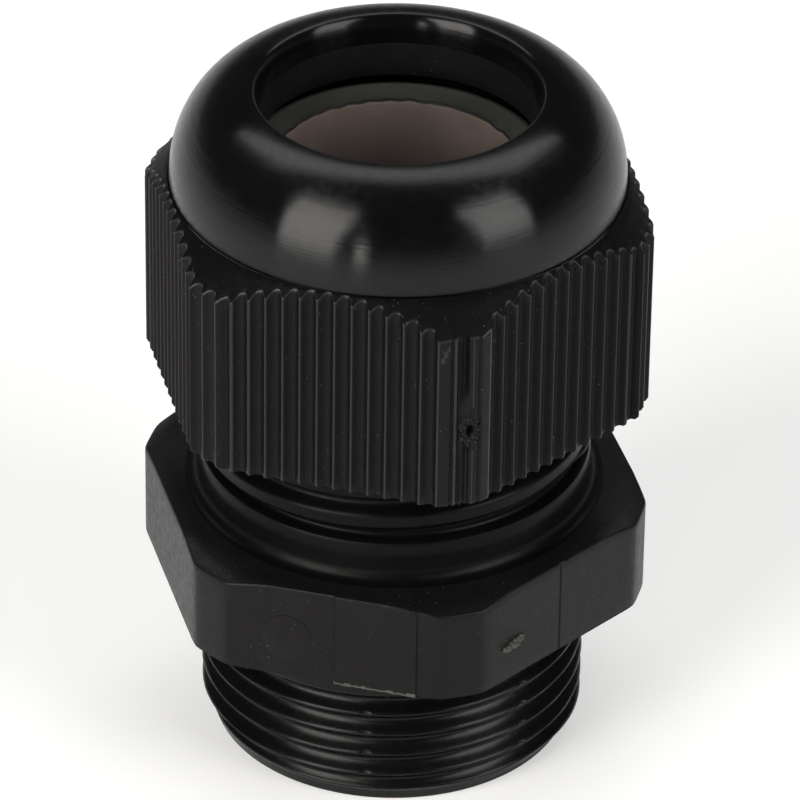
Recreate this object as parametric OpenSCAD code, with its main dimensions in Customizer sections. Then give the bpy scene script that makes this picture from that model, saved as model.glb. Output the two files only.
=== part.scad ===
// Cable gland for a round cable, with a dome nut, a clamping cage and a sleeve seal.
// Millimetres. Z runs up the cable axis and z = 0 is the open end of the entry thread.

/* [Cable] */
// Diameter of the thickest cable that the seal takes
cable_d_max = 14; // [12:0.5:15.5]

/* [Entry thread] */
// Outside diameter of the thread that enters the enclosure
entry_thread_d = 22.5; // [22:0.25:24]
// Length of the entry thread below the flange
entry_thread_length = 10; // [8:0.5:16]
// Pitch of the entry thread
entry_thread_pitch = 1.411; // [1.3:0.001:1.5]
// Depth of the entry thread
entry_thread_depth = 0.7; // [0.5:0.05:0.8]
// Height of the plain shank between thread and flange
entry_shank_height = 1.2; // [0.8:0.1:2]
// Chamfer that leads the entry thread into its hole
entry_chamfer = 0.6; // [0.3:0.1:0.8]
// Radial clearance between the cable and the bore through the entry thread
entry_bore_clearance = 1; // [0.5:0.05:1.2]

/* [Hex] */
// Width across the flats, the same for the flange and the nut
across_flats = 27; // [26:0.25:30]
// Depth by which each sharp corner of the hexagon is cut back
corner_cut = 0.74; // [0.4:0.02:1]
// Height of the hexagonal flange
flange_height = 6.1; // [5:0.1:9]

/* [Neck] */
// Step from the neck thread out to the collar above the flange
collar_step = 0.1; // [0.05:0.05:0.4]
// Height of the collar
collar_height = 2.5; // [2:0.1:3.5]
// Height of the neck from the flange to its rim
neck_height = 10; // [9.5:0.25:12]
// Wall of the neck under its thread
neck_wall = 1.4; // [1.2:0.05:1.8]
// Depth of the thread on the neck
neck_thread_depth = 0.7; // [0.5:0.05:0.8]
// Pitch of the thread on the neck
neck_thread_pitch = 2; // [1.8:0.1:2.5]
// Width of the crest of the neck thread
neck_crest_width = 1; // [0.8:0.05:1.1]
// Height above the flange at which the neck thread starts
neck_thread_start = 2.27; // [2.2:0.01:2.6]

/* [Clamping cage] */
// Number of fingers in the cage
finger_count = 12; // [12:1:12]
// Thickness of a finger
finger_thickness = 1.2; // [1:0.1:1.3]
// Length of a finger from its hinge line to its tip
finger_length = 6.8; // [6:0.1:7.2]
// Angle of the slot between two fingers
finger_slot_angle = 5; // [4:0.5:8]
// Angle at which a free finger leans outwards
finger_flare = 4.5; // [3.5:0.25:5]
// Angle by which a finger folds when the nut is tight
finger_fold = 6.5; // [5:0.25:6.5]
// Gap between the root of a finger and the rim of the neck
finger_root_gap = 0.2; // [0.1:0.05:0.4]

/* [Seal] */
// Length of the sleeve seal
seal_length = 14; // [12.5:0.25:14.25]
// Depth of the seal's seat below the rim of the neck
seal_seat_depth = 2.8; // [2:0.1:4]
// Radial clearance between the seal and the neck
seal_clearance = 0.3; // [0.2:0.05:0.5]
// Fall of the seal's top face from its outer to its inner edge
seal_top_fall = 0.4; // [0.2:0.1:0.8]
// Chamfer around the top of the seal
seal_chamfer = 0.4; // [0.2:0.1:0.6]

/* [Dome nut] */
// Wall of the nut from the neck thread out to its flats
nut_wall = 2.2; // [2:0.05:2.8]
// Height over which the loose nut laps the neck
nut_lap = 2.85; // [2.4:0.05:3.2]
// Gap between the top of the seal and the lip of the opening
lip_gap = 1.15; // [0.5:0.05:1.5]
// Distance that the nut travels down when it is tightened
nut_travel = 3; // [2:0.25:3]
// Radial clearance between the cable and the opening in the dome
opening_clearance = 0.9; // [0.4:0.05:1.2]
// Depth of the opening's straight wall
opening_depth = 3.75; // [3.25:0.05:4.25]
// Step from the flats in to the side of the dome
dome_inset = 0.5; // [0.3:0.05:0.7]
// Radius of the dome's rounded shoulder
dome_round = 4.7; // [4:0.1:4.9]
// Height of the ribbed grip at its cut corners
grip_height = 11.05; // [10:0.05:12]
// Number of ribs on each flat of the grip
ribs_per_flat = 12; // [8:1:14]
// Depth of the grooves between ribs
rib_depth = 0.4; // [0.2:0.05:0.5]
// Length of the nut's internal thread
nut_thread_length = 5; // [4:0.25:6]
// Turn of the nut's flats against the flange's flats
nut_rest_turn = -1.35; // [-30:0.05:30]

/* [Fits] */
// Radial and axial clearance between the neck thread and the nut thread
thread_clearance = 0.2; // [0.15:0.01:0.25]
// Clearance between the finger tips and the cone inside the nut
cone_clearance = 0.25; // [0.2:0.05:0.4]

/* [Hidden] */

// Smoothness: sides of a circle, and steps in each turn of a thread
$fn = 96;
thread_steps = 30;
// Overshoot of a cut past the face that it leaves
cut = 1;
// Distance that keeps the corners of a thread's straight steps off a round wall
step_margin = 0.15;
// Lean of a neck thread's flank, and depth to which its foot is sunk
flank_lean = 0.16;
thread_overlap = 0.3;
// Half width of the entry groove's mouth as a share of the pitch, and of its root as a share of that
mouth_share = 0.42;
root_share = 1 / 6;

// Hexagon with cut corners: half of a flat between the cuts, and radius of the corners that are left
flat_r = across_flats / 2;
corner_r = flat_r / cos(30) - corner_cut;
half_flat = (corner_r - flat_r * cos(30)) / sin(30);
cut_vertex_r = norm([flat_r, half_flat]);

// Body, from the bottom up
entry_r = entry_thread_d / 2;
entry_bore_r = cable_d_max / 2 + entry_bore_clearance;
flange_top = entry_thread_length + flange_height;
collar_top = flange_top + collar_height;
neck_top = flange_top + neck_height;
neck_r = flat_r - nut_wall;
neck_core_r = neck_r - neck_thread_depth;
neck_bore_r = neck_core_r - neck_wall;
collar_r = neck_r + collar_step;
thread_z = flange_top + neck_thread_start;
neck_turns = (neck_top - thread_z - neck_crest_width / 2 - flank_lean) / neck_thread_pitch;

// Seal, seated on a ledge inside the neck
seal_bore_r = cable_d_max / 2;
seal_r = neck_bore_r - seal_clearance;
seal_z = neck_top - seal_seat_depth;
seal_top = seal_z + seal_length;

// Fingers, each on a hinge line just above the rim of the neck
knuckle_r = finger_thickness / 2;
pivot_r = neck_bore_r + knuckle_r;
pivot_z = neck_top + finger_root_gap + knuckle_r;
finger_angle = 360 / finger_count - finger_slot_angle;
tip_chamfer = knuckle_r / 2;

// Radius and height of a finger's outer tip at a given lean
function tip_radius(lean) = pivot_r + knuckle_r * cos(lean) + finger_length * sin(lean);
function tip_height(lean) = pivot_z + finger_length * cos(lean) - knuckle_r * sin(lean);
tip_r = tip_radius(finger_flare);
tip_z = tip_height(finger_flare);
cone_slope = (tip_r - tip_radius(finger_flare - finger_fold)) / nut_travel;

// Nut, from the bottom up
nut_z = neck_top - nut_lap;
opening_r = cable_d_max / 2 + opening_clearance;
opening_z = seal_top + lip_gap;
nut_top = opening_z + opening_depth;
nut_thread_r = neck_r + thread_clearance;
nut_core_r = neck_core_r + thread_clearance;
nut_thread_top = nut_z + nut_thread_length;
mouth_chamfer = nut_thread_r + thread_clearance - nut_core_r;
relief_r = nut_thread_r + step_margin;
relief_taper = relief_r - nut_core_r;
cone_r0 = tip_r + cone_clearance;
cone_z = tip_z - (relief_r - cone_r0) / cone_slope;
cone_end_z = tip_z + nut_travel + cone_clearance;
cone_end_r = cone_r0 - cone_slope * (cone_end_z - tip_z);
dome_r = flat_r - dome_inset;
dome_side_top = nut_top - dome_round;
grip_top = nut_z + grip_height;
grip_cone_top = grip_top + cut_vertex_r - dome_r;

// Points of a helical ridge, one copy of its section per step: section points are [radius, height]
function ridge_points(section, pitch, turns, z) =
    [for (step = [0 : round(turns * thread_steps)], point = section)
        let (turn = 360 * step / thread_steps)
        [point[0] * cos(turn), point[0] * sin(turn), z + point[1] + pitch * step / thread_steps]];

// Faces between neighbouring sections, with a fan of triangles as a cap at each end
function ridge_faces(side, last) = concat(
    [for (j = [1 : side - 2]) [0, j + 1, j]],
    [for (step = [0 : last - 1], j = [0 : side - 1])
        let (here = step * side, next = here + side, k = (j + 1) % side)
        each [[here + j, here + k, next + k], [here + j, next + k, next + j]]],
    [for (j = [1 : side - 2]) [last * side, last * side + j, last * side + j + 1]]);

module ridge(section, pitch, turns, z) {
    polyhedron(ridge_points(section, pitch, turns, z),
        ridge_faces(len(section), round(turns * thread_steps)), convexity = 10);
}

// Hexagonal prism, flats facing -Y and +Y, with its corners cut by a second hexagon
module cut_hexagon(height) {
    intersection() {
        cylinder(r = flat_r / cos(30), h = height, $fn = 6);
        rotate([0, 0, 30]) cylinder(r = corner_r / cos(30), h = height, $fn = 6);
    }
}

// One flat of the ribbed grip, as crests and grooves from cut corner to cut corner
function ribbed_flat(turn) = [for (i = [0 : 2 * ribs_per_flat])
    let (s = half_flat * (i / ribs_per_flat - 1), r = flat_r - (i % 2) * rib_depth)
    [r * cos(turn) - s * sin(turn), r * sin(turn) + s * cos(turn)]];

module grip_outline() {
    polygon([for (side = [0 : 5]) each ribbed_flat(30 + 60 * side)]);
}

// Groove of the entry thread: its flanks run on to a knee outside the crest
module entry_groove() {
    root = entry_r - entry_thread_depth;
    knee = entry_r + step_margin;
    mouth = mouth_share * entry_thread_pitch;
    foot = root_share * mouth;
    turns = (entry_thread_length - entry_shank_height - mouth + cut) / entry_thread_pitch;
    ridge([[root, -foot], [knee, -mouth], [entry_r + cut, -mouth],
        [entry_r + cut, mouth], [knee, mouth], [root, foot]],
        entry_thread_pitch, turns, -cut);
}

// Half outline of the body without its hexagon, threads and grooves
module body_profile() {
    polygon([[entry_bore_r, 0], [entry_r - entry_chamfer, 0], [entry_r, entry_chamfer],
        [entry_r, entry_thread_length + cut], [collar_r, entry_thread_length + cut],
        [collar_r, collar_top], [neck_core_r, collar_top], [neck_core_r, neck_top],
        [neck_bore_r, neck_top], [neck_bore_r, seal_z], [entry_bore_r, seal_z]]);
}

module gland_body() {
    half = neck_crest_width / 2;
    foot = half + flank_lean;
    foot_r = neck_core_r - thread_overlap;
    color("#1d1b1c")
    difference() {
        union() {
            rotate_extrude() body_profile();
            translate([0, 0, entry_thread_length]) difference() {
                cut_hexagon(flange_height);
                translate([0, 0, -cut]) cylinder(r = collar_r - cut, h = flange_height + 2 * cut);
            }
            ridge([[foot_r, -foot], [neck_r, -half], [neck_r, half], [foot_r, foot]],
                neck_thread_pitch, neck_turns, thread_z);
        }
        entry_groove();
    }
}

// Half outline of the nut's ribbed skirt, which bounds the ribs with a cone above
module grip_bound() {
    edge_r = corner_r + cut;
    polygon([[0, nut_z], [edge_r, nut_z], [edge_r, grip_top - edge_r + cut_vertex_r],
        [dome_r - cut, grip_cone_top + cut], [0, grip_cone_top + cut]]);
}

// Half outline of the dome, straight up to its rounded shoulder
module dome_profile() {
    translate([0, grip_top - cut]) square([dome_r, dome_side_top - grip_top + cut]);
    square_r = dome_r - dome_round;
    translate([0, grip_top]) square([square_r, nut_top - grip_top]);
    intersection() {
        translate([square_r, dome_side_top]) circle(r = dome_round);
        translate([0, dome_side_top]) square([dome_r, dome_round]);
    }
}

// Half outline of the hollow inside the nut
module nut_hollow() {
    polygon([[0, nut_z - cut], [nut_core_r + mouth_chamfer + cut, nut_z - cut],
        [nut_core_r, nut_z + mouth_chamfer], [nut_core_r, nut_thread_top],
        [relief_r, nut_thread_top + relief_taper], [relief_r, cone_z],
        [cone_end_r, cone_end_z], [opening_r, opening_z],
        [opening_r, nut_top + cut], [0, nut_top + cut]]);
}

module nut_groove() {
    half = neck_crest_width / 2 + thread_clearance;
    foot = half + flank_lean;
    start_z = thread_z + neck_thread_pitch * floor((nut_z - cut - thread_z) / neck_thread_pitch);
    turns = (nut_thread_top + relief_taper - start_z) / neck_thread_pitch;
    foot_r = nut_core_r - thread_overlap;
    ridge([[foot_r, -foot], [nut_thread_r, -half], [nut_thread_r, half], [foot_r, foot]],
        neck_thread_pitch, turns, start_z);
}

module dome_nut() {
    color("#19181a")
    difference() {
        union() {
            intersection() {
                rotate([0, 0, nut_rest_turn]) translate([0, 0, nut_z])
                    linear_extrude(height = grip_height + corner_r) grip_outline();
                rotate_extrude() grip_bound();
            }
            rotate_extrude() dome_profile();
        }
        rotate_extrude() nut_hollow();
        nut_groove();
    }
}

module seal_sleeve() {
    color("#4a413e")
    rotate_extrude()
        polygon([[seal_bore_r, seal_z], [seal_r, seal_z], [seal_r, seal_top - seal_chamfer],
            [seal_r - seal_chamfer, seal_top], [seal_bore_r, seal_top - seal_top_fall]]);
}

// Half outline of a finger, upright, with its hinge line at the origin
module finger_profile() {
    circle(r = knuckle_r);
    polygon([[-knuckle_r, 0], [knuckle_r, 0], [knuckle_r, finger_length - tip_chamfer],
        [knuckle_r - tip_chamfer, finger_length], [-knuckle_r, finger_length]]);
}

module finger(index) {
    color("#1d1b1c")
    rotate([0, 0, 360 * (index - 1) / finger_count - finger_angle / 2])
        rotate_extrude(angle = finger_angle)
        translate([pivot_r, pivot_z]) rotate(-finger_flare) finger_profile();
}

gland_body();
dome_nut();
seal_sleeve();
finger(1);  // finger_01
finger(2);  // finger_02
finger(3);  // finger_03
finger(4);  // finger_04
finger(5);  // finger_05
finger(6);  // finger_06
finger(7);  // finger_07
finger(8);  // finger_08
finger(9);  // finger_09
finger(10);  // finger_10
finger(11);  // finger_11
finger(12);  // finger_12
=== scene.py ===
import bisect
import math
import random

import bmesh
import bpy
from mathutils import Matrix, Vector


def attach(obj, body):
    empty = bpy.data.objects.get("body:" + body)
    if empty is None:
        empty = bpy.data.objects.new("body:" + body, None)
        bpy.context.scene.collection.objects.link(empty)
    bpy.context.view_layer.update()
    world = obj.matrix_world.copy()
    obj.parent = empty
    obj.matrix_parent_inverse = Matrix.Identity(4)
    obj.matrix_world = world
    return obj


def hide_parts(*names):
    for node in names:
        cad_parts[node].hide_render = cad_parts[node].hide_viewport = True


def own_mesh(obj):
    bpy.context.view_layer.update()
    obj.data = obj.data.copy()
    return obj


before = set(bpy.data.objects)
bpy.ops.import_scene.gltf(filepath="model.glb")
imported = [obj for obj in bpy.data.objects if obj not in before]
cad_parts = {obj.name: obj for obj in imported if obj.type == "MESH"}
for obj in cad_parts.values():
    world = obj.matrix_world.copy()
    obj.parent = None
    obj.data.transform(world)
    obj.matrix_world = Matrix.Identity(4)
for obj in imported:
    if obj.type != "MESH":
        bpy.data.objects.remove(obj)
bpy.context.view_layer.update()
print("frame loaded")

mm = 0.001
fullTurn = 2 * math.pi


def blendStep(value, low, high):
    share = min(max((value - low) / (high - low), 0.0), 1.0)
    return share * share * (3 - 2 * share)


def helixOffset(angle, height, start, pitch):
    # distance along the axis from the nearest turn of a helix, and the number of that turn
    turns = (height - start) / pitch - (angle % fullTurn) / fullTurn
    nearest = round(turns)
    return abs(turns - nearest) * pitch, nearest + (angle % fullTurn) / fullTurn


def spinSkin(mesh, outline, angles, place, closed=False):
    # outline is a list of (zone, radius, height) in mm, carried round to every angle;
    # place() gives each point of the skin its radius and height
    rows, columns = len(outline), len(angles)
    lastRow = rows if closed else rows - 1
    grid = bmesh.ops.create_grid(mesh, x_segments=lastRow, y_segments=columns, size=1)["verts"]
    rings, spare = {}, []
    for vert in grid:
        row = round((vert.co.x + 1) / 2 * lastRow)
        column = round((vert.co.y + 1) / 2 * columns)
        if row == rows or column == columns:
            spare.append((vert, row % rows, column % columns))
            continue
        zone, radius, height = outline[row]
        radius, height = place(zone, radius, height, column)
        vert.co = (radius * math.cos(angles[column]), radius * math.sin(angles[column]), height)
        rings.setdefault(row, {})[column] = vert
    # the last column meets the first, and the last row of a closed outline meets the first
    bmesh.ops.weld_verts(mesh, targetmap={vert: rings[row][column] for vert, row, column in spare})
    return rings


def ringEdges(mesh, ring):
    edges = []
    count = len(ring)
    for column in range(count):
        edge = mesh.edges.get((ring[column], ring[(column + 1) % count]))
        if edge:
            edges.append(edge)
    return edges


def finishPiece(name, mesh, materials, paint, smoothAngle=32, soft=()):
    # welds, turns the faces outwards, colours them by place and keeps crisp edges crisp,
    # except between the soft pairs of heights
    bmesh.ops.remove_doubles(mesh, verts=mesh.verts[:], dist=0.0002)
    bmesh.ops.recalc_face_normals(mesh, faces=mesh.faces[:])
    for face in mesh.faces:
        face.smooth = True
        face.material_index = paint(face.calc_center_median(), face.normal)
    limit = math.radians(smoothAngle)
    for edge in mesh.edges:
        height = edge.verts[0].co.z
        if any(low < height < high for low, high in soft):
            continue
        if len(edge.link_faces) == 2 and edge.calc_face_angle(0) > limit:
            edge.smooth = False
    bmesh.ops.scale(mesh, vec=(mm, mm, mm), verts=mesh.verts[:])
    data = bpy.data.meshes.new(name)
    mesh.to_mesh(data)
    mesh.free()
    for material in materials:
        data.materials.append(material)
    piece = bpy.data.objects.new(name, data)
    bpy.context.collection.objects.link(piece)
    return piece


def addNode(tree, kind, sockets=None, **settings):
    node = tree.nodes.new("ShaderNode" + kind)
    for key, value in settings.items():
        setattr(node, key, value)
    for key, value in (sockets or {}).items():
        if isinstance(value, bpy.types.NodeSocket):
            tree.links.new(value, node.inputs[key])
        else:
            node.inputs[key].default_value = value
    return node


def newMaterial(name):
    material = bpy.data.materials.new(name)
    material.use_nodes = True
    tree = material.node_tree
    tree.nodes.clear()
    shader = addNode(tree, "BsdfPrincipled")
    output = addNode(tree, "OutputMaterial", {"Surface": shader.outputs["BSDF"]})
    output.location = (400, 0)
    return material, tree, shader


def patternAt(tree, scale, stretch=(1, 1, 1), detail=2.0, roughness=0.5):
    # noise on Object coordinates, in features per mm
    coordinates = addNode(tree, "TexCoord").outputs["Object"]
    mapping = addNode(tree, "Mapping", {"Vector": coordinates,
                                        "Scale": [1000 * share for share in stretch]})
    noise = addNode(tree, "TexNoise", {"Vector": mapping.outputs["Vector"], "Scale": scale,
                                       "Detail": detail, "Roughness": roughness})
    return noise.outputs["Fac"]


def rampOf(tree, factor, low, high, dark, light):
    ramp = addNode(tree, "ValToRGB", {"Fac": factor})
    ramp.color_ramp.elements[0].position = low
    ramp.color_ramp.elements[0].color = (*dark, 1)
    ramp.color_ramp.elements[1].position = high
    ramp.color_ramp.elements[1].color = (*light, 1)
    return ramp.outputs["Color"]


def mixColour(tree, factor, first, second):
    mix = addNode(tree, "Mix", data_type="RGBA")
    for key, value in (("Factor_Float", factor), ("A_Color", first), ("B_Color", second)):
        socket = next(s for s in mix.inputs if s.identifier == key)
        if isinstance(value, bpy.types.NodeSocket):
            tree.links.new(value, socket)
        else:
            socket.default_value = value if key == "Factor_Float" else (*value, 1)
    return next(s for s in mix.outputs if s.identifier == "Result_Color")


def nylon(name, colour, roughness, spread, grain, grainDepth, specular=0.3, dust=0.0,
          streaks=0.0, streakDepth=0.0, brushed=0.0):
    material, tree, shader = newMaterial(name)
    tone = patternAt(tree, 0.6, detail=3.0)
    base = rampOf(tree, tone, 0.3, 0.7, [c * 0.85 for c in colour], [c * 1.15 for c in colour])
    if dust:
        specks = patternAt(tree, 7.5, detail=1.0)
        amount = rampOf(tree, specks, 0.78 - dust, 0.84 - dust, (0, 0, 0), (0.22, 0.22, 0.22))
        base = mixColour(tree, amount, base, (0.5, 0.5, 0.48))
    tree.links.new(base, shader.inputs["Base Color"])
    wear = patternAt(tree, 2.2, detail=4.0)
    rough = addNode(tree, "MapRange", {"Value": wear, "From Min": 0.3, "From Max": 0.7,
                                       "To Min": roughness - spread, "To Max": roughness + spread})
    tree.links.new(rough.outputs["Result"], shader.inputs["Roughness"])
    shader.inputs["Specular IOR Level"].default_value = specular
    bump = addNode(tree, "Bump", {"Height": patternAt(tree, grain, detail=3.0), "Strength": 1.0,
                                  "Distance": grainDepth * mm})
    if streaks:
        lines = patternAt(tree, streaks, stretch=(0.02, 0.02, 1), detail=4.0, roughness=0.7)
        bump = addNode(tree, "Bump", {"Height": lines, "Strength": 1.0, "Distance": streakDepth * mm,
                                      "Normal": bump.outputs["Normal"]})
    tree.links.new(bump.outputs["Normal"], shader.inputs["Normal"])
    if brushed:
        # lines that run round the axis spread a highlight up and down
        shader.inputs["Anisotropic"].default_value = brushed
        shader.inputs["Anisotropic Rotation"].default_value = 0.25
        around = addNode(tree, "Tangent", direction_type="RADIAL", axis="Z")
        tree.links.new(around.outputs["Tangent"], shader.inputs["Tangent"])
    return material


def rubber(name, colour, patch, roughness, grain, grainDepth, deep=None):
    material, tree, shader = newMaterial(name)
    cloud = patternAt(tree, 0.35, detail=3.0)
    base = mixColour(tree, rampOf(tree, cloud, 0.35, 0.65, (0, 0, 0), (1, 1, 1)), colour, patch)
    if deep:
        # painted shade: the bore wall darkens towards this colour from the first height (mm) to the second
        fromHeight, toHeight, shadeColour = deep
        place = addNode(tree, "SeparateXYZ", {0: addNode(tree, "TexCoord").outputs["Object"]})
        depth = addNode(tree, "MapRange", {"Value": place.outputs["Z"], "From Min": fromHeight * mm,
                                           "From Max": toHeight * mm})
        base = mixColour(tree, depth.outputs["Result"], base, shadeColour)
    tree.links.new(base, shader.inputs["Base Color"])
    shader.inputs["Roughness"].default_value = roughness
    shader.inputs["Specular IOR Level"].default_value = 0.25
    bump = addNode(tree, "Bump", {"Height": patternAt(tree, grain, detail=4.0), "Strength": 1.0,
                                  "Distance": grainDepth * mm})
    tree.links.new(bump.outputs["Normal"], shader.inputs["Normal"])
    return material


domeGloss = nylon("domeGloss", (0.0022, 0.0022, 0.0026), 0.19, 0.03, 9, 0.001, 0.26,
                  streaks=3.5, streakDepth=0.016, brushed=0.95)
gripGrain = nylon("gripGrain", (0.0046, 0.0041, 0.0041), 0.48, 0.06, 7, 0.034, 0.135, dust=0.035)
# a darker copy of the grip nylon for the cone's upward faces: painted shade
coneMatte = nylon("coneMatte", (0.003, 0.0028, 0.0028), 0.52, 0.06, 7, 0.03, 0.06, dust=0.04)
# lighter nylon for rib crests, arch edges and scar marks: partly wear, partly painted highlight
gripWorn = nylon("gripWorn", (0.011, 0.01, 0.01), 0.32, 0.05, 6, 0.006, 0.29)
nutInside = nylon("nutInside", (0.006, 0.0058, 0.0068), 0.5, 0.05, 6, 0.006, 0.2, dust=0.02)
bodySatin = nylon("bodySatin", (0.0062, 0.0057, 0.0057), 0.38, 0.06, 7, 0.016, 0.145, dust=0.02)
# a darker copy of the body nylon for the neck, collar and inner flange top: painted shade under the nut
neckSatin = nylon("neckSatin", (0.0028, 0.0027, 0.0028), 0.34, 0.05, 6, 0.004, 0.09)
threadSatin = nylon("threadSatin", (0.003, 0.003, 0.003), 0.26, 0.03, 4, 0.002, 0.19)
gateNylon = nylon("gateNylon", (0.055, 0.054, 0.05), 0.42, 0.06, 9, 0.03, 0.4)
sealFace = rubber("sealFace", (0.038, 0.038, 0.035), (0.043, 0.043, 0.038), 0.6, 7, 0.01)
# the same rubber as the face, painted lighter and warmer on the bore wall as if lit from the front:
# painted light; it darkens down the bore: painted shade
sealWall = rubber("sealWall", (0.19, 0.145, 0.13), (0.15, 0.118, 0.107), 0.55, 5, 0.02,
                  deep=(36.6, 31.0, (0.075, 0.066, 0.06)))
# a dark strip along the seal's inner edge: painted shadow
sealEdge = rubber("sealEdge", (0.012, 0.011, 0.011), (0.01, 0.01, 0.01), 0.5, 7, 0.01)
print("materials ready")


bodyShape = {
    "columns": 240, "flat": 13.5, "corner": 14.85, "edgeSoftness": 10,
    "cornerAngle": 25.04, "boreRadius": 8.0, "ledge": 23.3, "neckBore": 9.2, "rim": 26.1,
    "entryRadius": 11.25, "entryDepth": 0.7, "entryPitch": 1.411, "entryEnd": 8.75,
    "entryStart": -1.0, "entryLastTurn": 6.525, "mouldFlats": (7.0, 57.4, 187.0, 237.4),
    "flangeLow": 10.0, "flangeTop": 16.1, "collar": 11.4, "collarTop": 18.6,
    "neckCore": 10.6, "neckDepth": 0.7, "neckPitch": 2.0, "neckStart": 18.37, "neckLastTurn": 3.535,
    "cornerDrop": 0.4, "panelSide": 270, "panelProud": 0.12, "panelFrom": 0.15, "panelTo": 4.97,
    "panelEdge": 0.05, "partingSide": 330, "partingDepth": 0.07,
}


def hexRadius(angle, shape, inset=0.0):
    # cut hexagon with slightly softened edges between flats and corner cuts
    away = (math.degrees(angle) % 60) - 30
    flat = (shape["flat"] - inset) / math.cos(math.radians(away))
    corner = (shape["corner"] - inset) / math.cos(math.radians(30 - abs(away)))
    soft = shape["edgeSoftness"]
    return -math.log(math.exp(-soft * flat) + math.exp(-soft * corner)) / soft


def bodyAngles(shape):
    angles = [fullTurn * i / shape["columns"] for i in range(shape["columns"])]
    extra = []
    for side in range(6):
        normal = 30 + 60 * side
        extra += [normal + sign * (shape["cornerAngle"] + nudge)
                  for sign in (-1, 1) for nudge in (-0.35, 0.35)]
    for s in (shape["panelFrom"], shape["panelTo"]):
        for edge in (-shape["panelEdge"], shape["panelEdge"]):
            extra.append(shape["panelSide"] + math.degrees(math.atan2(s + edge, shape["flat"])))
    for s in (-0.1, -0.045, 0.045, 0.1):
        extra.append(shape["partingSide"] + math.degrees(math.atan2(s, shape["flat"])))
    for spot in shape["mouldFlats"]:
        extra += [spot - 90 + nudge for nudge in (-2.2, -1.4, -0.7, 0, 0.7, 1.4, 2.2)]
    angles = sorted(angles + [math.radians(a % 360) for a in extra])
    return [a for i, a in enumerate(angles) if i == 0 or a - angles[i - 1] > math.radians(0.06)]


def panelRelief(angle, height, shape):
    # a raised half panel on one flat, from a step at mid-flat, and a parting line on the next
    away = math.degrees(angle) - shape["partingSide"]
    if abs(away) < 1:
        s = shape["flat"] * math.tan(math.radians(away))
        return -shape["partingDepth"] * (1 - blendStep(abs(s), 0.03, 0.1))
    away = math.degrees(angle) - shape["panelSide"]
    if abs(away) > 26:
        return 0.0
    s = shape["flat"] * math.tan(math.radians(away))
    start, end, edge = shape["panelFrom"], shape["panelTo"], shape["panelEdge"]
    inside = blendStep(s, start - edge, start + edge) * (1 - blendStep(s, end - edge, end + edge))
    return shape["panelProud"] * inside


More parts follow.
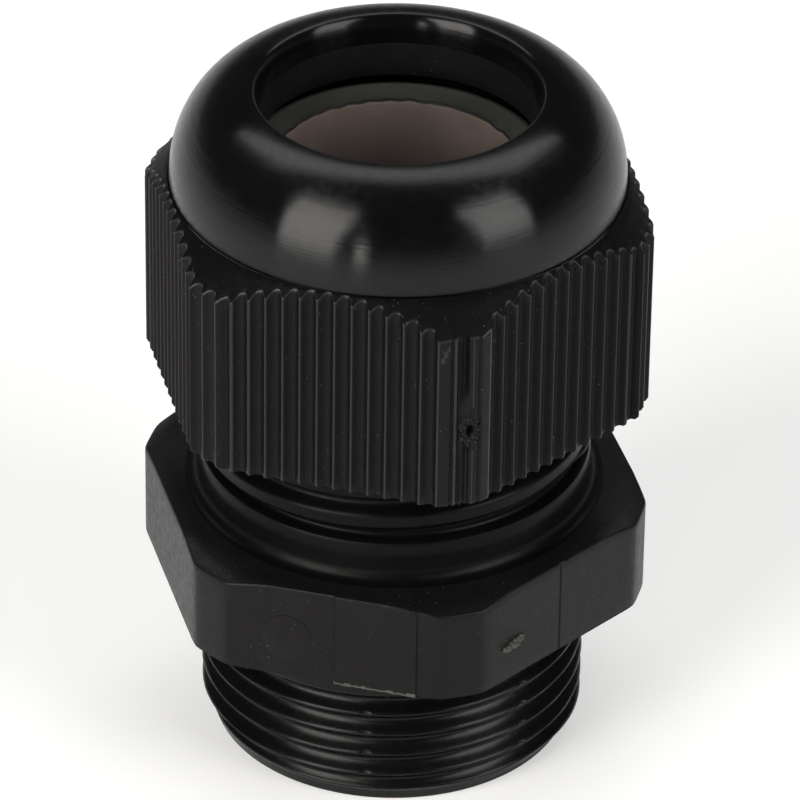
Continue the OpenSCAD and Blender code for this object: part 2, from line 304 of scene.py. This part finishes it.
def makeBody(shape):
    random.seed(4)
    angles = bodyAngles(shape)
    flat, low, top = shape["flat"], shape["flangeLow"], shape["flangeTop"]
    entry, collar, collarTop = shape["entryRadius"], shape["collar"], shape["collarTop"]
    core, bore, neckBore = shape["neckCore"], shape["boreRadius"], shape["neckBore"]
    ledge, rim = shape["ledge"], shape["rim"]
    outer = [("round", bore + 0.25, 0.0), ("round", 10.3, 0.0), ("round", 10.5, 0.05)]
    rows = 100
    outer += [("entry", entry, 0.12 + (shape["entryEnd"] - 0.12) * i / rows)
              for i in range(rows + 1)]
    outer += [("round", entry, 9.2), ("round", entry, 9.75), ("round", entry + 0.05, 9.92),
              ("round", entry + 0.2, low), ("hex", flat - 1.2, low), ("hex", flat - 0.22, low),
              ("hex", flat - 0.08, low + 0.04), ("flash", flat, low + 0.1),
              ("flash", flat - 0.01, low + 0.2)]
    outer += [("side", flat, low + 0.28 + 5.72 * i / 12) for i in range(13)]
    outer += [("hex", flat - 0.02, top - 0.05), ("hex", flat - 0.06, top - 0.01),
              ("hex", flat - 0.12, top), ("hex", flat - 1.0, top),
              ("round", collar + 0.8, top), ("round", collar + 0.47, top + 0.06),
              ("round", collar + 0.22, top + 0.22), ("round", collar + 0.07, top + 0.44),
              ("round", collar, top + 0.75), ("round", collar, collarTop - 1),
              ("round", collar, collarTop - 0.25), ("round", collar - 0.08, collarTop - 0.08),
              ("round", collar - 0.25, collarTop), ("neck", core + 0.2, collarTop + 0.01)]
    rows = 96
    neckLow, neckHigh = collarTop + 0.05, rim - 0.15
    outer += [("neck", core, neckLow + (neckHigh - neckLow) * i / rows) for i in range(rows + 1)]
    outer += [("round", core - 0.15, rim - 0.05), ("round", core - 0.3, rim),
              ("round", neckBore + 0.12, rim)]
    flash = [random.random() for column in angles]

    def place(zone, radius, height, column):
        angle = angles[column]
        if zone == "entry":
            away, turn = helixOffset(angle, height, shape["entryStart"], shape["entryPitch"])
            fade = 1 - blendStep(turn, shape["entryLastTurn"] - 0.1, shape["entryLastTurn"] + 0.02)
            groove = math.cos(math.pi * away / shape["entryPitch"]) ** 1.3 * fade
            radius = entry - shape["entryDepth"] * groove
            radius = min(radius, 10.5 + 0.25 * height + 0.7 * blendStep(height, 0.7, 1.5))
            for spot in shape["mouldFlats"]:
                near = abs((math.degrees(angle) + 90 - spot + 180) % 360 - 180)
                if near < 2.6:
                    radius = min(radius, 11.14 + 0.12 * blendStep(near, 0.4, 2.4))
        elif zone == "neck":
            away, turn = helixOffset(angle, height, shape["neckStart"], shape["neckPitch"])
            fade = blendStep(turn, -0.02, 0.03) * (1 - blendStep(turn, shape["neckLastTurn"] - 0.04,
                                                                 shape["neckLastTurn"] + 0.02))
            radius = core + shape["neckDepth"] * (1 - blendStep(away, 0.3, 0.95)) * fade
            if height < 18.7:
                radius = max(radius, 10.75)
        elif zone in ("hex", "side", "flash"):
            inset = flat - radius
            radius = hexRadius(angle, shape, inset)
            proud = panelRelief(angle, height, shape)
            radius += proud * (1.0 if zone != "hex" else 0.7)
            # the corners are turned down a little towards the top
            height -= (shape["cornerDrop"] * max(0.0, radius - 13.95)
                       * blendStep(height, 14.2, top))
            if zone == "flash" and proud > 0:
                radius = min(radius + 0.14 * flash[column] * proud / shape["panelProud"],
                             (flat + 0.14) / math.cos(angle - math.radians(shape["panelSide"])))
                height += 0.08 * (flash[column - 1] - 0.5)
        return radius, height

    mesh = bmesh.new()
    outerRings = spinSkin(mesh, outer, angles, place)
    inner = [("round", neckBore, rim - 0.12), ("round", neckBore, rim - 1.5),
             ("round", neckBore, ledge + 0.1), ("round", neckBore - 0.1, ledge),
             ("round", bore + 0.1, ledge), ("round", bore, ledge - 0.1), ("round", bore, 16.0),
             ("round", bore, 8.0), ("round", bore, 0.25), ("round", bore + 0.08, 0.06)]
    coarse = [fullTurn * i / 96 for i in range(96)]
    innerRings = spinSkin(mesh, inner, coarse, lambda zone, radius, height, column: (radius, height))
    for ringA, ringB in ((outerRings[len(outer) - 1], innerRings[0]),
                         (innerRings[len(inner) - 1], outerRings[0])):
        bmesh.ops.bridge_loops(mesh, edges=ringEdges(mesh, ringA) + ringEdges(mesh, ringB))

    def paint(centre, facing):
        onPanel = shape["panelFrom"] < centre.x < shape["panelTo"] and centre.y < -flat + 0.1
        # the flash along the panel's lower edge takes the light gate colour: a painted highlight
        if onPanel and low < centre.z < low + 0.24:
            return 2
        # neck, collar and flange top near them take the darker copy of the body nylon: painted shade under
        # the nut
        if centre.z > top + 0.05 or (centre.z > top - 0.02 and math.hypot(centre.x, centre.y) < 12.3):
            return 3
        return 1 if centre.z < 9.6 else 0

    return finishPiece("glandBody", mesh, [bodySatin, threadSatin, gateNylon, neckSatin], paint,
                       soft=((0.2, 9.1), (18.7, 25.9)))


glandBody = makeBody(bodyShape)
print("gland body", len(glandBody.data.polygons))


nutShape = {
    "flat": 13.499, "corner": 14.849, "turned": -1.35, "ribs": 12, "ribPitch": 1.0, "ribShift": 0.3,
    "ribProfile": {0: 0, 0.05: 0.022, 0.1: 0.08, 0.19: 0.21, 0.33: 0.33, 0.48: 0.38, 0.59: 0.39,
                   0.65: 0.36, 0.71: 0.385, 0.81: 0.28, 0.9: 0.08, 0.95: 0.022},
    "cornerHalfAngle": 4.92, "low": 23.25, "mouthChamfer": 0.14, "skirt": 13.5,
    "stretchFrom": 33.1, "stretchRun": 1.2, "gripTop": 34.3, "vertexRadius": 14.905,
    "archEdge": 0.09, "domeRadius": 13.0, "shoulderZ": 36.46, "shoulderIn": 8.51, "shoulderUp": 5.44,
    "bore": 7.9, "lipWidth": 0.52, "lipHeight": 1.25, "lipTop": 41.9, "scarCorner": 4,
    "hole": (0.6, 28.23), "holeSize": (0.2, 0.36),
}


def nutColumns(shape):
    # (angle, radius at the grip, side, place across a corner or None) for every column of the nut,
    # and the angles of the rib crests
    columns, crests = [], []
    halfFlat = shape["ribs"] * shape["ribPitch"] / 2
    vertex = math.sqrt(shape["vertexRadius"] ** 2 - shape["flat"] ** 2)
    half = shape["corner"] * math.tan(math.radians(shape["cornerHalfAngle"]))
    cornerRun = half * 2 + 2 * (vertex - halfFlat)
    for side in range(6):
        normal = math.radians(30 + 60 * side + shape["turned"])

        def add(direction, s, n, across):
            columns.append((direction + math.atan2(s, n), math.hypot(s, n), side, across))

        for rib in range(shape["ribs"]):
            start = shape["ribShift"] - halfFlat + rib * shape["ribPitch"]
            crests.append(normal + math.atan2(start, shape["flat"]))
            for share, depth in shape["ribProfile"].items():
                add(normal, start + share * shape["ribPitch"], shape["flat"] - depth, None)
        # round the corner: three wider ribs, or a bare strip where the moulding scar is
        bare = side == shape["scarCorner"]
        if bare:
            places = [(i / 40, 0.0) for i in range(40)]
            crests.append(normal + math.atan2(halfFlat + shape["ribShift"], shape["flat"]))
        else:
            places = [((rib + share) / 3, 0.9 * depth) for rib in range(3)
                      for share, depth in shape["ribProfile"].items()]
        for share, depth in places:
            t = share * cornerRun - half - (vertex - halfFlat - shape["ribShift"])
            t = max(t, -half)
            direction, s, n = normal + math.radians(30), t, shape["corner"]
            if t > half:
                direction, s, n = normal + math.radians(60), t - half - vertex, shape["flat"]
            if depth == 0 and not bare:
                crests.append(direction + math.atan2(s, n))
            add(direction, s, n - depth, t)
    columns = sorted((angle % fullTurn, radius, side, across if across is not None else 99)
                     for angle, radius, side, across in columns)
    return columns, sorted(angle % fullTurn for angle in crests)


def scarTear(across, height, shape):
    # how far a place is from the hole, in hole sizes, and how torn the surface is there
    across0, height0 = shape["hole"]
    width, length = shape["holeSize"]
    hole = math.hypot((across - across0) / width, (height - height0) / length)
    return hole, math.sin(11 * across + 6 * height) * math.sin(19 * across - 13 * height)


def scarDepth(across, height, shape):
    # depth of the moulding scar on one corner: grooves, a torn flake and a hole with a rough rim
    def groove(place, halfWidth, depth, bottom, top):
        beside = 1 - blendStep(abs(across - place), halfWidth * 0.3, halfWidth)
        ends = blendStep(height, bottom, bottom + 0.25) * (1 - blendStep(height, top, top + 0.25))
        return depth * beside * ends

    depth = groove(-0.45, 0.14, 0.12, 20, 40) + groove(-0.08, 0.13, 0.14, 20, 40)
    depth += groove(0.32, 0.24, 0.3, 29.9, 35)
    depth += groove(0.28, 0.16, 0.2, 20, 27.3) + groove(0.52, 0.1, 0.12, 20, 27.0)
    depth += groove(1.12, 0.12, 0.1, 20, 40)
    depth -= groove(0.72, 0.14, 0.05, 29.6, 34.0) + groove(0.8, 0.18, 0.05, 20, 27.2)
    hole, torn = scarTear(across, height, shape)
    depth += 0.45 * (1 - blendStep(hole, 0.6, 1.15))
    depth += (0.1 * torn - 0.02) * math.exp(-((hole - 2.2) / 1.5) ** 2)
    flake = math.hypot((across + 0.85) / 0.2, (height - 33.5) / 0.4)
    depth += 0.06 * math.sin(14 * across + 9 * height) * math.exp(-flake ** 2)
    return depth


def scarLightPlaces(across, height, shape):
    # the light places of the scar: torn specks by the hole, a slanting flake and two lighter ridge lines
    hole, torn = scarTear(across, height, shape)
    flake = abs(across + 0.85 - 0.5 * (height - 33.45)) < 0.1 and abs(height - 33.45) < 0.45
    ridge = abs(across + 0.27) < 0.055 or (abs(across - 0.74) < 0.06 and not 27.0 < height < 29.8)
    return (1.2 < hole < 3.0 and torn > 0.5) or flake or ridge


def makeNut(shape):
    columns, crests = nutColumns(shape)
    angles = [column[0] for column in columns]
    low, gripTop, skirt = shape["low"], shape["gripTop"], shape["skirt"]
    stretchFrom, stretchRun = shape["stretchFrom"], shape["stretchRun"]
    outer = [("edge", 11.95, low), ("edge", 13.0, low)]
    heights = [low + step for step in (0.02, 0.2, 0.38, 0.7)]
    heights += [low + 1.2 + 0.6 * i for i in range(3)]
    heights += [26.2 + 0.15 * i for i in range(26)]  # close together where the scar is
    heights += [30.5 + 0.8 * i for i in range(4)]
    outer += [("skirt", skirt, height) for height in heights]
    outer += [("stretch", skirt, stretchFrom + stretchRun * i / 7) for i in range(1, 8)]
    outer += [("cone", 13.4, share) for share in (0, 0.3, 0.65, 1)]
    outer += [("round", 12.98, 36.12), ("round", 13.0, 36.2)]
    semi = shape["domeRadius"] - shape["shoulderIn"]
    for i in range(23):
        tilt = math.radians(87 * i / 22)
        outer.append(("round", shape["shoulderIn"] + semi * math.cos(tilt),
                      shape["shoulderZ"] + shape["shoulderUp"] * math.sin(tilt)))
    bore, lipWidth, lipHeight, lipTop = (shape[key] for key in ("bore", "lipWidth", "lipHeight", "lipTop"))
    for i in range(9):
        tilt = math.radians(88 - 10 * i)
        outer.append(("round", bore + lipWidth * (1 - math.cos(tilt)),
                      lipTop - lipHeight * (1 - math.sin(tilt))))

    def place(zone, radius, height, column):
        angle, side, facet, across = columns[column]
        coneStart = gripTop + shape["vertexRadius"] - side
        if zone in ("skirt", "stretch"):
            if zone == "stretch":
                reach = coneStart - shape["archEdge"] - stretchFrom
                height = stretchFrom + (height - stretchFrom) / stretchRun * reach
            chamfered = hexRadius(angle - math.radians(shape["turned"]), bodyShape)
            chamfered -= shape["mouthChamfer"]
            radius = min(side, chamfered + max(0.0, height - low))
            if across < 90 and facet == shape["scarCorner"]:
                radius -= scarDepth(across, height, shape)
        elif zone == "edge":
            if radius > 12.5:
                radius = side - 0.5
        elif zone == "cone":
            start = side - 0.6 * shape["archEdge"]
            radius = start + (shape["domeRadius"] + 0.1 - start) * height
            height = coneStart + (side - radius)
        return radius, height

    mesh = bmesh.new()
    outerRings = spinSkin(mesh, outer, angles, place)
    inner = [("round", bore, 40.2), ("round", bore, 39.6), ("round", bore, 38.8),
             ("round", bore, 38.15), ("round", bore + 0.06, 38.05),
             ("round", 10.35, 36.88), ("round", 11.65, 31.8), ("round", 11.65, 29.1)]
    rows = 40
    inner += [("thread", 10.8, 28.3 - (28.3 - 24.15) * i / rows) for i in range(rows + 1)]
    inner += [("round", 11.2, 23.75), ("round", 11.7, low)]
    coarse = [fullTurn * i / 144 for i in range(144)]

    def placeInner(zone, radius, height, column):
        if zone == "thread":
            away, turn = helixOffset(coarse[column], height, bodyShape["neckStart"],
                                     bodyShape["neckPitch"])
            radius += 0.7 * (1 - blendStep(away, 0.66, 0.88))
        return radius, height

    scarDirection = math.radians(60 * shape["scarCorner"] + 60 + shape["turned"])
    innerRings = spinSkin(mesh, inner, coarse, placeInner)
    for ringA, ringB in ((outerRings[len(outer) - 1], innerRings[0]),
                         (innerRings[len(inner) - 1], outerRings[0])):
        bmesh.ops.bridge_loops(mesh, edges=ringEdges(mesh, ringA) + ringEdges(mesh, ringB))

    def paint(centre, facing):
        radius = math.hypot(centre.x, centre.y)
        if (centre.z < 40.3 and radius < 8.1) or (centre.z < 38.6 and radius < 11.9):
            return 2
        if centre.z > 36.1:
            return 0
        # the cone's upward faces take the darker copy of the grip nylon, painted shade; the edge strip
        # between flutes and cone takes the lighter crest nylon, a painted glint
        if radius > 12.9 and facing.z > 0.15 and centre.z > 33:
            return 3 if facing.z < 0.6 else 4
        angle = math.atan2(centre.y, centre.x) % fullTurn
        across = radius * math.sin(angle - scarDirection)
        if radius > 13 and abs(across) < 2 and math.cos(angle - scarDirection) > 0:
            if scarLightPlaces(across, centre.z, shape):
                return 3
        # rib crests take the lighter crest nylon: partly wear, partly a painted highlight along each crest
        spot = bisect.bisect(crests, angle)
        away = min(abs((angle - crests[k % len(crests)] + math.pi) % fullTurn - math.pi)
                   for k in (spot - 1, spot))
        return 3 if away * radius < 0.055 and radius > 13 and facing.z < 0.6 else 1

    return finishPiece("domeNut", mesh, [domeGloss, gripGrain, nutInside, gripWorn, coneMatte], paint,
                       smoothAngle=42)


domeNut = makeNut(nutShape)
print("dome nut", len(domeNut.data.polygons))


sealShape = {"columns": 180, "low": 23.3, "top": 37.3, "outer": 8.76, "inner": 7.0, "fall": 0.4,
             "chamfer": 0.4, "shift": 0.12, "towards": 194.5, "ragged": 0.03}


def makeSeal(shape):
    random.seed(11)
    low, top, inner, outerR = shape["low"], shape["top"], shape["inner"], shape["outer"]
    innerTop = top - shape["fall"]
    outline = [("round", inner + 0.1, low), ("round", outerR - 0.2, low), ("round", outerR, low + 0.2),
               ("round", outerR, 27.0), ("round", outerR, 32.0), ("round", outerR, top - 0.45),
               ("round", outerR - 0.1, top - 0.2), ("round", outerR - 0.28, top - 0.05),
               ("round", outerR - 0.5, top - 0.03), ("round", 8.0, top - 0.17),
               ("round", 7.5, top - 0.29), ("round", inner + 0.2, innerTop + 0.05),
               ("ragged", inner + 0.12, innerTop + 0.06), ("ragged", inner + 0.05, innerTop + 0.03),
               ("ragged", inner, innerTop - 0.06), ("round", inner, innerTop - 0.3),
               ("round", inner, 34.0), ("round", inner, 30.0), ("round", inner, 26.0),
               ("round", inner, low + 0.1)]
    angles = [fullTurn * i / shape["columns"] for i in range(shape["columns"])]
    waves = [(random.randint(7, 40), random.uniform(0, fullTurn)) for i in range(7)]
    rough = [sum(math.sin(count * angle + start) for count, start in waves) / 2.6 for angle in angles]

    def place(zone, radius, height, column):
        if zone == "ragged":
            return radius + 0.4 * shape["ragged"] * rough[column], height + shape["ragged"] * rough[column]
        return radius, height

    mesh = bmesh.new()
    spinSkin(mesh, outline, angles, place, closed=True)
    offset = Vector((math.cos(math.radians(shape["towards"])),
                     math.sin(math.radians(shape["towards"])), 0)) * shape["shift"]
    bmesh.ops.translate(mesh, vec=offset, verts=mesh.verts[:])

    # the bore wall takes the lighter, warmer wall colour (painted light) and the inner edge a dark strip
    # (painted shadow)
    def paint(centre, facing):
        radius = math.hypot(centre.x - offset.x, centre.y - offset.y)
        if radius < inner + 0.13 and centre.z > innerTop - 0.1:
            return 2
        return 1 if radius < inner + 0.06 else 0

    return finishPiece("sealSleeve", mesh, [sealFace, sealWall, sealEdge], paint)


sealSleeve = makeSeal(sealShape)
print("seal sleeve", len(sealSleeve.data.polygons))


# moulding marks on the flange: a torn gate and a plain low disc
markShape = {"gate": (-3.8, 12.4), "gateTilt": 7,
             "gateLumps": ((-0.55, -0.06, 0.36, 0.2, 0.3), (0.0, 0.0, 0.42, 0.27, 0.38),
                           (0.5, 0.09, 0.42, 0.2, 0.3)),
             "disc": (-2.7, 12.7), "discRadius": 1.5, "discProud": 0.035}


def onFlat(mesh, normalAngle, s, z, depth=0.0):
    # carries a mesh made round the origin, facing +Z, on to a flat of the flange
    out = Vector((math.cos(normalAngle), math.sin(normalAngle), 0))
    along = Vector((-math.sin(normalAngle), math.cos(normalAngle), 0))
    turn = Matrix((along, (0, 0, 1), out)).transposed().to_4x4()
    place = Matrix.Translation(out * (bodyShape["flat"] + depth) + along * s + Vector((0, 0, z)))
    bmesh.ops.transform(mesh, matrix=place @ turn, verts=mesh.verts[:])


def makeGate(shape):
    # torn lumps in a row, each a ball that is squashed, roughened and sunk a little
    mesh = bmesh.new()
    for along, up, halfLength, halfHeight, proud in shape["gateLumps"]:
        ball = bmesh.ops.create_icosphere(mesh, subdivisions=5, radius=1)["verts"]
        for vert in ball:
            x, y, z = vert.co
            wave = math.sin(3.1 * x + 4 * along) * math.cos(4.3 * y) + 0.4 * math.sin(8.7 * x + 6.1 * y)
            vert.co = (along + x * halfLength * (1 + 0.08 * math.cos(9 * y)),
                       up + y * halfHeight * (1 + 0.16 * math.sin(7 * x + along)),
                       z * proud * (1 + 0.22 * wave))
    tilt = Matrix.Rotation(math.radians(shape["gateTilt"]), 4, "Z")
    bmesh.ops.transform(mesh, matrix=tilt, verts=mesh.verts[:])
    onFlat(mesh, math.radians(330), *shape["gate"], depth=-0.05)
    return finishPiece("gateNub", mesh, [gateNylon], lambda centre, facing: 0, smoothAngle=60)


def makeDisc(shape):
    mesh = bmesh.new()
    bmesh.ops.create_circle(mesh, cap_ends=True, segments=64, radius=shape["discRadius"])
    grown = bmesh.ops.extrude_face_region(mesh, geom=mesh.faces[:])
    raised = [v for v in grown["geom"] if isinstance(v, bmesh.types.BMVert)]
    bmesh.ops.translate(mesh, vec=(0, 0, 0.2 + shape["discProud"]), verts=raised)
    bmesh.ops.translate(mesh, vec=(0, 0, -0.2), verts=mesh.verts[:])
    bmesh.ops.recalc_face_normals(mesh, faces=mesh.faces[:])
    rim = [e for e in mesh.edges if all(v.co.z > 0 for v in e.verts)]
    bmesh.ops.bevel(mesh, geom=rim, offset=0.03, offset_type="OFFSET", segments=2, profile=0.5,
                    affect="EDGES", material=-1)
    onFlat(mesh, math.radians(270), *shape["disc"])
    return finishPiece("mouldDisc", mesh, [bodySatin], lambda centre, facing: 0)


gateNub = makeGate(markShape)
mouldDisc = makeDisc(markShape)
print("moulding marks done")


# who moves with what
for piece in (glandBody, gateNub, mouldDisc):
    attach(piece, "gland_body")
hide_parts("gland_body")

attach(domeNut, "dome_nut")
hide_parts("dome_nut")

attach(sealSleeve, "gland_body")
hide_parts("seal_sleeve")
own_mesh(sealSleeve)

for name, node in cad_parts.items():
    if name.startswith("finger"):
        for materialSlot in node.material_slots:
            materialSlot.material = threadSatin
print("bodies assigned")


studio = {
    "floorRadius": 1.3, "wallHeight": 0.17, "floorColour": 0.72, "floorGlow": 0.33,
    "wallGlow": 0.5, "world": 0.05, "aimHeight": 0.0209, "cameraTurn": 14.55,
}


def studioMaterial(name, colour, glow):
    # diffuse everywhere, with a little light of its own for what looks straight at it or mirrors it
    material = bpy.data.materials.new(name)
    material.use_nodes = True
    tree = material.node_tree
    tree.nodes.clear()
    path = addNode(tree, "LightPath")
    seen = addNode(tree, "Math", {0: path.outputs["Is Camera Ray"], 1: path.outputs["Is Glossy Ray"]},
                   operation="MAXIMUM")
    seen = addNode(tree, "Math", {0: seen.outputs[0], 1: path.outputs["Is Transmission Ray"]},
                   operation="MAXIMUM")
    strength = addNode(tree, "Math", {0: seen.outputs[0], 1: glow}, operation="MULTIPLY")
    diffuse = addNode(tree, "BsdfDiffuse", {"Color": (colour, colour, colour, 1)})
    shine = addNode(tree, "Emission", {"Color": (1, 1, 1, 1), "Strength": strength.outputs[0]})
    total = addNode(tree, "AddShader", {0: diffuse.outputs[0], 1: shine.outputs[0]})
    addNode(tree, "OutputMaterial", {"Surface": total.outputs[0]})
    return material


def makeStage(settings):
    mesh = bmesh.new()
    bmesh.ops.create_circle(mesh, cap_ends=True, segments=96, radius=settings["floorRadius"])
    edges = [edge for edge in mesh.edges if edge.is_boundary]
    wall = bmesh.ops.extrude_edge_only(mesh, edges=edges)
    raised = [v for v in wall["geom"] if isinstance(v, bmesh.types.BMVert)]
    bmesh.ops.translate(mesh, vec=(0, 0, settings["wallHeight"]), verts=raised)
    data = bpy.data.meshes.new("studioFloor")
    mesh.to_mesh(data)
    mesh.free()
    for polygon in data.polygons:
        polygon.material_index = 0 if abs(polygon.normal.z) > 0.5 else 1
    data.materials.append(studioMaterial("studioFloor", settings["floorColour"],
                                         settings["floorGlow"]))
    data.materials.append(studioMaterial("studioWall", settings["floorColour"],
                                         settings["wallGlow"]))
    floor = bpy.data.objects.new("studioFloor", data)
    bpy.context.collection.objects.link(floor)


def direction(turn, rise):
    # unit vector for an angle from the camera's side, positive to its right, and a rise above level
    turn = math.radians(turn + studio["cameraTurn"] - 90)
    rise = math.radians(rise)
    return Vector((math.cos(turn) * math.cos(rise), math.sin(turn) * math.cos(rise), math.sin(rise)))


def addSoftbox(name, turn, rise, distance, spanTurn, spanRise, radiance, colour):
    width = 2 * distance * math.tan(math.radians(spanTurn / 2))
    height = 2 * distance * math.tan(math.radians(spanRise / 2))
    lamp = bpy.data.lights.new(name, "AREA")
    lamp.shape = "RECTANGLE"
    lamp.size, lamp.size_y = width, height
    lamp.energy = radiance * math.pi * width * height
    lamp.color = colour
    body = bpy.data.objects.new(name, lamp)
    aim = Vector((0, 0, studio["aimHeight"]))
    body.location = aim + direction(turn, rise) * distance
    body.rotation_euler = (aim - body.location).to_track_quat("-Z", "Y").to_euler()
    body.visible_camera = False
    bpy.context.collection.objects.link(body)


makeStage(studio)
# name, turn, rise, distance (m), width and height in degrees, radiance, colour
lamps = [
    ("softboxLeft", -44, 28, 0.5, 29, 50, 7.0, (1, 0.975, 0.93)),
    ("stripLeft", -17, 9, 0.5, 5, 17, 9.0, (1, 0.975, 0.93)),
    ("softboxRight", 56, 32, 0.5, 27, 42, 5.5, (1, 0.985, 0.96)),
    ("softboxBack", 180, 60, 0.6, 60, 28, 2.6, (1, 1, 1)),
]
for lamp in lamps:
    addSoftbox(*lamp)

world = bpy.data.worlds.new("studioWorld")
bpy.context.scene.world = world
world.use_nodes = True
world.node_tree.nodes["Background"].inputs["Color"].default_value = (1, 1, 1, 1)
world.node_tree.nodes["Background"].inputs["Strength"].default_value = studio["world"]
bpy.context.scene.view_settings.view_transform = "Standard"

view = {"turn": studio["cameraTurn"], "rise": 33.17, "roll": 0.815, "distance": 0.39506,
        "lens": 306.96, "aim": (0, 0, studio["aimHeight"]), "aside": 0.000281}


def addCamera(settings):
    turn, rise, roll = (math.radians(settings[key]) for key in ("turn", "rise", "roll"))
    back = Vector((math.sin(turn) * math.cos(rise), -math.cos(turn) * math.cos(rise), math.sin(rise)))
    right = Vector((math.cos(turn), math.sin(turn), 0))
    up = back.cross(right)
    rolledRight = right * math.cos(roll) + up * math.sin(roll)
    rolledUp = up * math.cos(roll) - right * math.sin(roll)
    lens = bpy.data.cameras.new("camera")
    lens.lens, lens.sensor_width = settings["lens"], 36
    lens.clip_start, lens.clip_end = 0.01, 10
    camera = bpy.data.objects.new("camera", lens)
    place = Matrix((rolledRight, rolledUp, back)).transposed().to_4x4()
    place.translation = Vector(settings["aim"]) + rolledRight * settings["aside"] \
        + back * settings["distance"]
    camera.matrix_world = place
    bpy.context.collection.objects.link(camera)
    bpy.context.scene.camera = camera


addCamera(view)
print("studio ready")
